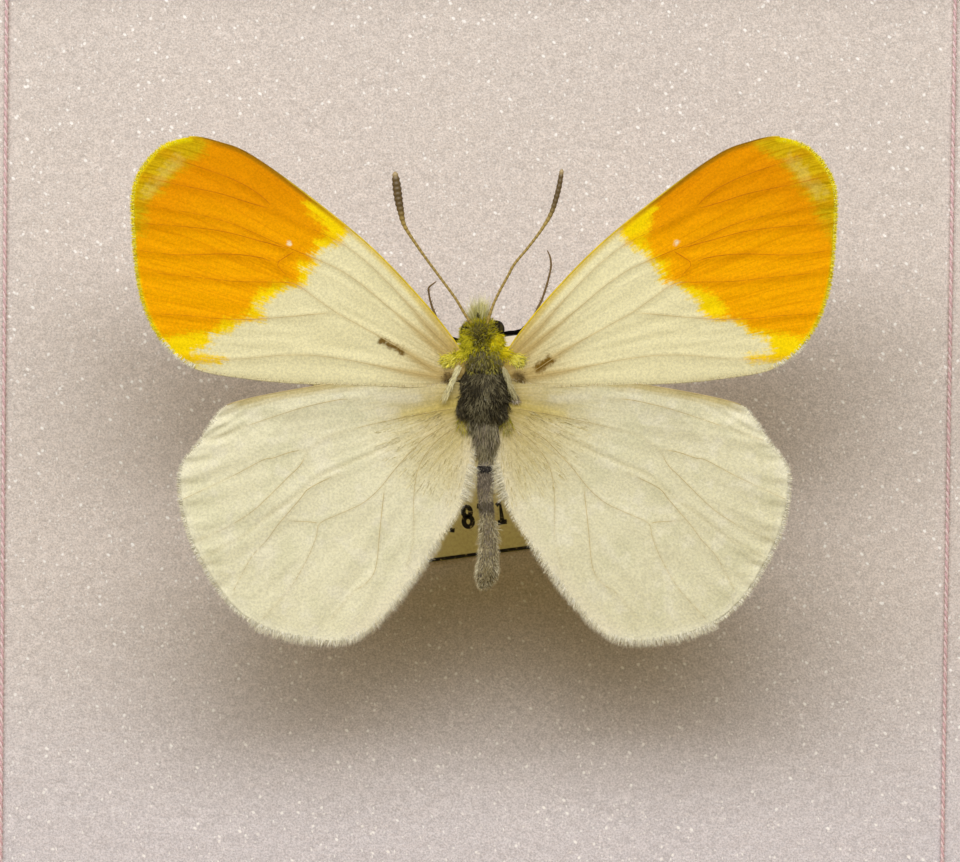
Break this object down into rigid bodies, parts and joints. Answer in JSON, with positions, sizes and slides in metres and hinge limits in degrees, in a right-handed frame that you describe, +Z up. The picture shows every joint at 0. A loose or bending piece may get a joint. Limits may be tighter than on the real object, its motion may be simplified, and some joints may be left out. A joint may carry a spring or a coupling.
{
  "type": "insect collection drawer",
  "caption": "Small dovetailed wooden drawer with a foam floor, a spread orange-tipped butterfly pinned over its data card, and threads marking the column.",
  "frame": {"origin": "middle of the drawer's underside", "axes": "+Z up, the drawer's front and its pull face -Y, +X along the drawer's width to the butterfly's right wing"},
  "size_m": [0.12, 0.101, 0.036],
  "materials": {
    "wood": "pale hardwood, waxed, satin",
    "bottom_board": "thin bare board",
    "foam": "fine closed-cell foam, matt with small glints",
    "card": "aged yellow card with ruled black lines",
    "thread": "twisted pink and white cotton",
    "pin_head": "steel pin with a round white glass head",
    "pin_steel": "fine steel pin",
    "butterfly": "matt wing scales and short fur"
  },
  "bodies": {
    "root": {"front_board": "wood", "back_board": "wood", "side_board_left": "wood", "side_board_right": "wood", "pull": "wood", "bottom_panel": "bottom_board", "foam_bed": "foam", "data_card": "card", "thread_left": "thread", "thread_right": "thread", "thread_pin_back_left": "pin_head", "thread_pin_back_right": "pin_head", "thread_pin_front_left": "pin_head", "thread_pin_front_right": "pin_head", "specimen_pin": "pin_steel", "butterfly": "butterfly"}
  },
  "joints": []
}
